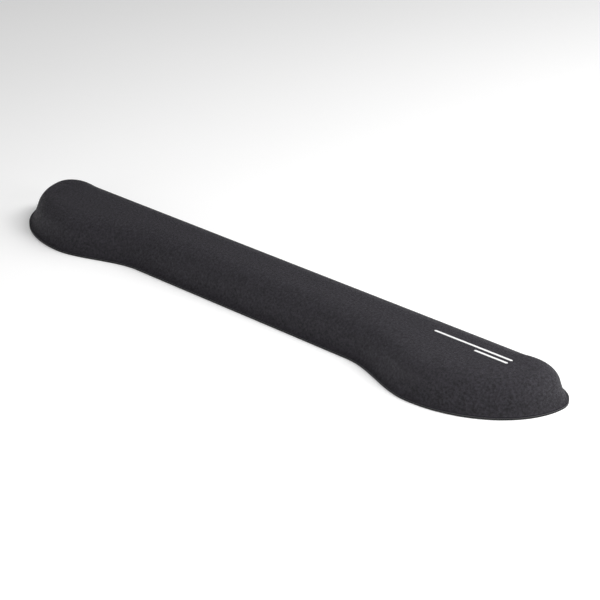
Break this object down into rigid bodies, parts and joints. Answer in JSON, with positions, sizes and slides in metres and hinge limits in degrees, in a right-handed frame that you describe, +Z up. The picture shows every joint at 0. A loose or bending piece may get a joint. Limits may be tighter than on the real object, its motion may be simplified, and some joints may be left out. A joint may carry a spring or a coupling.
{
  "type": "keyboard wrist rest",
  "caption": "Long low gel wrist rest with a fabric cover, straight back edge, narrow middle, rounded end lobes and a non-slip base.",
  "frame": {"origin": "on the desk, under the middle of the overall length and depth", "axes": "+X along the length to the right, +Y towards the keyboard, +Z up from the desk"},
  "size_m": [0.48, 0.08, 0.0231],
  "materials": {
    "cover_knit": "fine black stretch knit, matte with a soft sheen",
    "film": "thin clear flexible film",
    "gel": "soft translucent gel",
    "adhesive": "thin adhesive layer",
    "board": "plain black sheet",
    "base_rubber": "matte black, fine non-slip texture underneath",
    "print": "thin white heat-transfer print"
  },
  "bodies": {
    "root": {"cover_fabric": "cover_knit", "barrier_film": "film", "gel_pad": "gel", "backing_film": "film", "pad_adhesive": "adhesive", "stiffener_board": "board", "board_adhesive": "adhesive", "rim_bond": "adhesive", "base_sheet": "base_rubber", "printed_mark": "print"}
  },
  "joints": []
}
